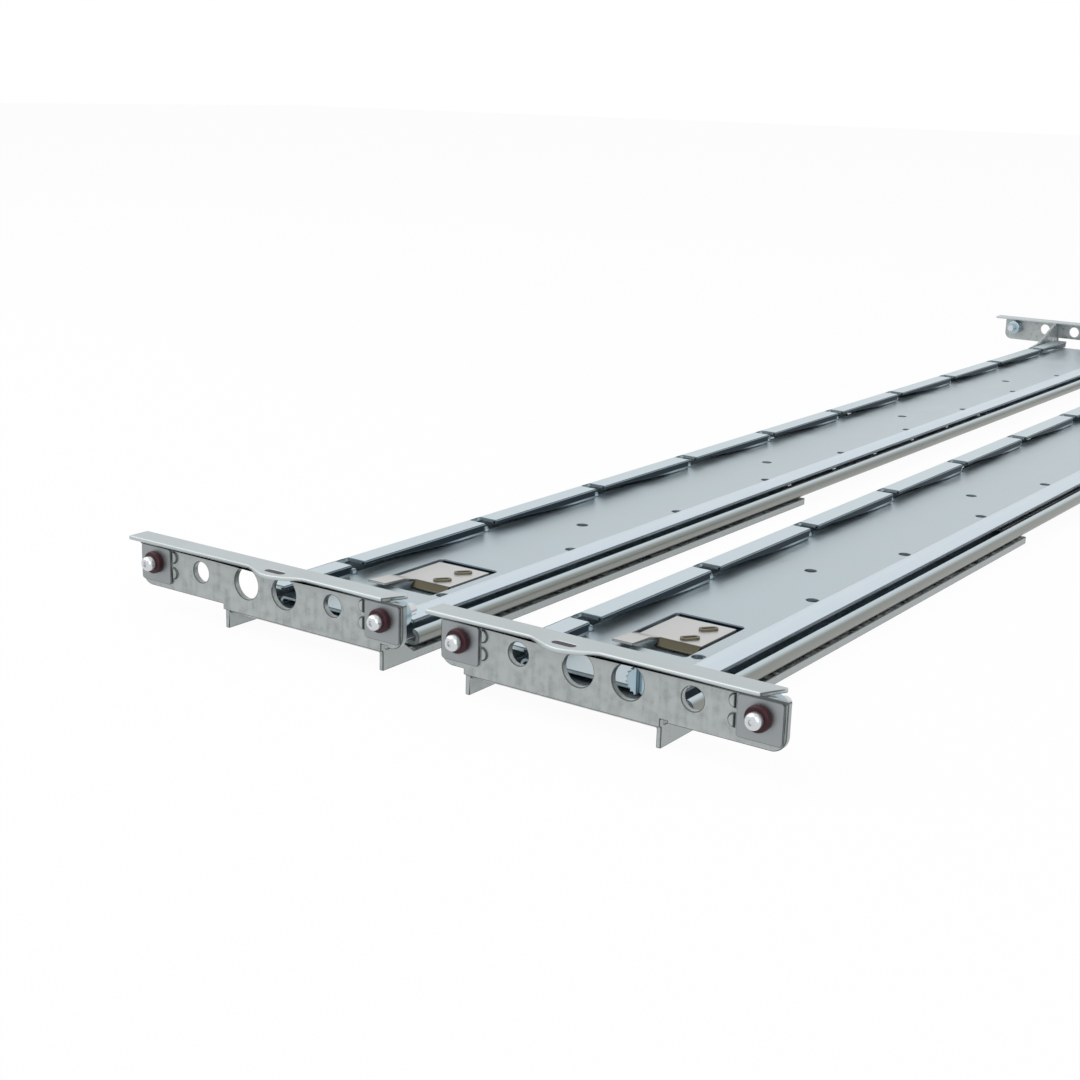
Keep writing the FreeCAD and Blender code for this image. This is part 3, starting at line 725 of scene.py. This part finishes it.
def lip_outline(low, high, ear):
    """(x, y) round the lip: depth behind the plate's face as x, with the ear's bulge."""
    points = [(LIP_DEPTH + LIP_SKIN, low), (LIP_DEPTH + LIP_SKIN, high), (-LIP_FRONT, high)]
    for step in range(EAR_STEPS + 1):
        along = 1 - 2 * step / EAR_STEPS
        swell = (1 + math.cos(math.pi * along)) / 2
        points.append((-LIP_FRONT - EAR_REACH * swell ** EAR_SWELL, ear + EAR_HALF * along))
    points.append((-LIP_FRONT, low + LIP_TAPER))
    return points


def slot_outline(ear, more=0.0):
    """(x, y) round the ear's slot, or a little more."""
    half, radius = EAR_SLOT[0] + more, EAR_SLOT[1] + more
    points = []
    for step in range(SLOT_SIDES):
        angle = 2 * math.pi * step / SLOT_SIDES
        shift = (half - radius) * (1 if math.cos(angle) >= 0 else -1)
        points.append((-SLOT_OUT + radius * math.sin(angle),
                       ear + shift + radius * math.cos(angle)))
    return points


def raised(name, loops, low, high, place):
    """Fill the loops, raise them from low to high, and turn each point by `place`."""
    shape = bmesh.new()
    edges = []
    for loop in loops:
        corners = [shape.verts.new((a, b, low)) for a, b in loop]
        edges += [shape.edges.new((corners[i - 1], corners[i])) for i in range(len(corners))]
    filled = bmesh.ops.triangle_fill(shape, use_beauty=True, edges=edges)
    faces = [item for item in filled["geom"] if isinstance(item, bmesh.types.BMFace)]
    grown_up = bmesh.ops.extrude_face_region(shape, geom=faces, use_keep_orig=True)
    for item in grown_up["geom"]:
        if isinstance(item, bmesh.types.BMVert):
            item.co.z = high
    for corner in shape.verts:
        corner.co = place(corner.co)
    bmesh.ops.dissolve_limit(shape, angle_limit=FLAT_FILL, verts=shape.verts,
                             edges=shape.edges)
    bmesh.ops.recalc_face_normals(shape, faces=shape.faces)
    mesh = bpy.data.meshes.new(name)
    shape.to_mesh(mesh)
    shape.free()
    return mesh


print("lip outline helpers ready")

# %% Lay a rolled lip on each plate
LIP_ROUND = 0.42 * MM
# the fold's dark strip is painted shade in the fold's inner corner
FOLD_SHADOW = (0.28 * MM, 0.30 * MM)       # how far the dark corner stands out, half height
SLOT_RIM = 0.25 * MM
SLOT_SINK = 0.12 * MM
PATCH_SKIN = 0.03 * MM
PATCH_DEPTH = 0.9 * MM
PATCH_HEIGHT = 3.9 * MM
PATCH_STEPS = 16
HOLE_SPACING = 12.7 * MM
HOLE_RADIUS = {"rear": 4.0 * MM, "front": 2.7 * MM}


def laid(name, mesh, material, body, softness=0):
    """Make an object of a mesh, with a finish and soft edges, that rides on a body."""
    mesh.materials.append(material)
    piece = new_object(name, mesh)
    if softness:
        soften(piece, softness, 3, False)
    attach(piece, body)
    return piece


def patch_outline(ear, hole, radius, level, top):
    """(y, z) round the sheet between the ear's slot and the screw hole next to it."""
    low, high = ear - CAD_SLOT_HALF, ear + CAD_SLOT_HALF
    bottom = top - PATCH_HEIGHT
    points = [(high, bottom), (high, top), (low, top)]
    first = math.acos(max(-1, min(1, (low - hole) / radius)))
    last = math.asin(max(-1, min(1, (bottom - level) / radius)))
    for step in range(PATCH_STEPS + 1):
        angle = first + (last - first) * step / PATCH_STEPS
        points.append((hole + radius * math.cos(angle), level + radius * math.sin(angle)))
    return points


def plate_lip(side, end):
    """The rolled lip, a painted-shade slot floor and fold strip, and the patch under the ear."""
    towards = inwards(end)
    body = body_of(side, end)
    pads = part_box(side + "_" + end + "_pads")
    face = pads[1][0] if end == "rear" else pads[0][0]
    (high_pin, level), (low_pin, _) = pin_axes(side, end)
    middle = (high_pin + low_pin) / 2
    ear = rail_middle(side) + EAR_FROM_MIDDLE[side]
    holes = (middle - HOLE_SPACING / 2, middle + HOLE_SPACING / 2)
    hole = min(holes, key=lambda y: abs(y - ear))
    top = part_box(side + "_rear_arm")[1][2] + LIP_SKIN
    low = middle - PLATE_HALF + LIP_SHORT_RIGHT - LIP_SKIN
    high = middle + PLATE_HALF + LIP_PAST_LEFT + LIP_SKIN
    prefix = side + "_" + end + "_"

    def upright(point):
        return Vector((face + towards * point.x, point.y, point.z))

    def sideways(point):
        return Vector((face + towards * point.z, point.x, point.y))

    under = top - LIP_THICK
    lip = raised(prefix + "rolled_lip", [lip_outline(low, high, ear), slot_outline(ear)],
                 under, top, upright)
    # a thin dark strip at the fold's inner corner: painted shade
    out, tall = FOLD_SHADOW
    corner = [(-out, middle - PLATE_HALF), (0.0, middle - PLATE_HALF),
              (0.0, middle + PLATE_HALF), (-out, middle + PLATE_HALF)]
    line = raised(prefix + "fold_shadow", [corner], under - tall, under + tall, upright)
    patch = raised(prefix + "ear_patch",
                   [patch_outline(ear, hole, HOLE_RADIUS[end], level, top - LIP_THICK / 2)],
                   -PATCH_SKIN, PATCH_DEPTH, sideways)
    # a near-black floor just below the top of the ear's slot: painted shade inside the slot
    pit = raised(prefix + "slot_shade_floor", [slot_outline(ear, SLOT_RIM)],
                 under, top - SLOT_SINK, upright)
    return [laid(prefix + "rolled_lip", lip, lip_zinc, body, LIP_ROUND),
            laid(prefix + "slot_shade_floor", pit, slot_shade, body),
            laid(prefix + "fold_shadow", line, bracket_edge_shade, body),
            laid(prefix + "ear_patch", patch, bracket_zinc, body)]


for side in SIDES:
    for end in ("rear", "front"):
        print([piece.name for piece in plate_lip(side, end)])

# %% [markdown]
# ## Bearing balls
#
# Steel balls roll between the channel's walls and the sliding member. They repeat at an
# even pitch along a row, which is what Geometry Nodes do well: a line of points, a ball on
# each, and the two rows joined. Realize Instances turns them into one plain mesh.

# %% Build the ball rows with Geometry Nodes
BALL_SIDES = 24


def build_ball_rows():
    """A tree of two rows of balls, with named sizes."""
    tree = bpy.data.node_groups.new("Ball Rows", "GeometryNodeTree")
    sockets = {}
    for label, kind in (("Count", "NodeSocketInt"), ("Radius", "NodeSocketFloat"),
                        ("First", "NodeSocketVector"), ("Pitch", "NodeSocketFloat"),
                        ("Row Spacing", "NodeSocketFloat"), ("Finish", "NodeSocketMaterial")):
        socket = tree.interface.new_socket(label, in_out="INPUT", socket_type=kind)
        sockets[label] = socket.identifier
    tree.interface.new_socket("Geometry", in_out="OUTPUT", socket_type="NodeSocketGeometry")
    start = tree.nodes.new("NodeGroupInput")
    end = tree.nodes.new("NodeGroupOutput")
    step = add(tree, "ShaderNodeCombineXYZ", {"X": start.outputs["Pitch"]})
    line = add(tree, "GeometryNodeMeshLine", {
        "Count": start.outputs["Count"], "Start Location": start.outputs["First"],
        "Offset": step.outputs[0]})
    shift = add(tree, "ShaderNodeCombineXYZ", {"Y": start.outputs["Row Spacing"]})
    second = add(tree, "GeometryNodeTransform", {
        "Geometry": line.outputs[0], "Translation": shift.outputs[0]})
    both = add(tree, "GeometryNodeJoinGeometry")
    tree.links.new(line.outputs[0], both.inputs[0])
    tree.links.new(second.outputs[0], both.inputs[0])
    ball = add(tree, "GeometryNodeMeshUVSphere", {
        "Segments": BALL_SIDES, "Rings": BALL_SIDES // 2, "Radius": start.outputs["Radius"]})
    placed = add(tree, "GeometryNodeInstanceOnPoints", {
        "Points": both.outputs[0], "Instance": ball.outputs["Mesh"]})
    real = add(tree, "GeometryNodeRealizeInstances", {"Geometry": placed.outputs[0]})
    smooth = add(tree, "GeometryNodeSetShadeSmooth", {"Geometry": real.outputs[0]})
    finish = add(tree, "GeometryNodeSetMaterial", {
        "Geometry": smooth.outputs[0], "Material": start.outputs["Finish"]})
    tree.links.new(finish.outputs[0], end.inputs["Geometry"])
    return tree, sockets


ball_rows, ball_sockets = build_ball_rows()
print("ball tree inputs:", list(ball_sockets))

# %% Make the balls of both rails
BALLS_PER_ROW = 6


def grown(name, tree, sockets, values, body):
    """Run a tree on an empty mesh, keep the result as a plain mesh, and let it ride."""
    seed = new_object(name + "_seed", bpy.data.meshes.new(name + "_seed"))
    growth = seed.modifiers.new("growth", "NODES")
    growth.node_group = tree
    for label, value in values.items():
        growth[sockets[label]] = value
    seed.update_tag()
    bpy.context.view_layer.update()
    graph = bpy.context.evaluated_depsgraph_get()
    mesh = bpy.data.meshes.new_from_object(seed.evaluated_get(graph))
    mesh.name = name
    bpy.data.objects.remove(seed)
    piece = new_object(name, mesh)
    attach(piece, body)
    return piece


for side in SIDES:
    low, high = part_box(side + "_balls")
    radius = (high[2] - low[2]) / 2
    pitch = (high[0] - low[0] - 2 * radius) / (BALLS_PER_ROW - 1)
    balls = grown(side + "_bearing_balls", ball_rows, ball_sockets, {
        "Count": BALLS_PER_ROW,
        "Radius": radius,
        "First": (low[0] + radius, low[1] + radius, (low[2] + high[2]) / 2),
        "Pitch": pitch,
        "Row Spacing": high[1] - low[1] - 2 * radius,
        "Finish": bright_steel,
    }, side + "_cage")
    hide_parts(side + "_balls")
    print(balls.name, "faces:", len(balls.data.polygons),
          "pitch mm:", round(pitch / MM, 2))

# %% [markdown]
# ## Floor, backdrop and light
#
# The rails lie on a white table under broad soft lamps. A large floor and a bright world
# give the plated metal something pale to mirror, while the gaps stay dark.

# %% Light the scene
FLOOR_REACH = 6.0
FLOOR_GLOW = 0.95                        # the share of plain white that the camera sees
WORLD_STRENGTH = 0.55
LAMPS = {                                # place, width and power
    "key": ((-0.9, 0.9, 1.3), 2.0, 18),
    "fill": ((-1.2, -1.0, 0.7), 1.8, 8),
}
LAMP_TARGET = (cad_box[0][0] + 0.12, 0.0, 0.01)


def seen_rays(tree):
    """1 for rays that show the background: straight from the camera or mirrored by metal."""
    path = add(tree, "ShaderNodeLightPath")
    both = add(tree, "ShaderNodeMath", {
        0: path.outputs["Is Camera Ray"], 1: path.outputs["Is Glossy Ray"]}, operation="MAXIMUM")
    return both.outputs[0]


def plain_floor():
    """A wide white floor under the rails."""
    mesh = bpy.data.meshes.new("floor")
    corners = [(x * FLOOR_REACH, y * FLOOR_REACH, 0) for x, y in
               ((-1, -1), (1, -1), (1, 1), (-1, 1))]
    mesh.from_pydata(corners, [], [(0, 1, 2, 3)])
    floor = new_object("floor", mesh)
    material, tree = empty_material("floor_white")
    matt = add(tree, "ShaderNodeBsdfDiffuse", {"Color": (0.9, 0.9, 0.9, 1)})
    glow = add(tree, "ShaderNodeEmission", {"Color": (1, 1, 1, 1), "Strength": 1.0})
    share = add(tree, "ShaderNodeMath", {0: seen_rays(tree), 1: FLOOR_GLOW},
                operation="MULTIPLY")
    mix = add(tree, "ShaderNodeMixShader", {
        0: share.outputs[0], 1: matt.outputs[0], 2: glow.outputs[0]})
    add(tree, "ShaderNodeOutputMaterial", {"Surface": mix.outputs[0]})
    mesh.materials.append(material)


def soft_lamp(name, place, size, power):
    """A square area lamp aimed at the rear plates."""
    data = bpy.data.lights.new(name, "AREA")
    data.size = size
    data.energy = power
    lamp = new_object(name, data)
    aim = (Vector(LAMP_TARGET) - Vector(place)).to_track_quat("-Z", "Y")
    lamp.matrix_world = Matrix.Translation(Vector(place)) @ aim.to_matrix().to_4x4()


def white_world(strength):
    """A plain world: white to the camera, softer as light."""
    world = bpy.data.worlds.new("studio")
    bpy.context.scene.world = world
    world.use_nodes = True
    tree = world.node_tree
    tree.nodes.clear()
    lit = add(tree, "ShaderNodeBackground", {
        "Color": (0.93, 0.96, 1.0, 1), "Strength": strength})
    seen = add(tree, "ShaderNodeBackground", {"Color": (1, 1, 1, 1), "Strength": 1.0})
    mix = add(tree, "ShaderNodeMixShader", {
        0: seen_rays(tree), 1: lit.outputs[0], 2: seen.outputs[0]})
    add(tree, "ShaderNodeOutputWorld", {"Surface": mix.outputs[0]})


plain_floor()
for name, (place, size, power) in LAMPS.items():
    soft_lamp(name, place, size, power)
white_world(WORLD_STRENGTH)
bpy.context.scene.view_settings.view_transform = "Standard"
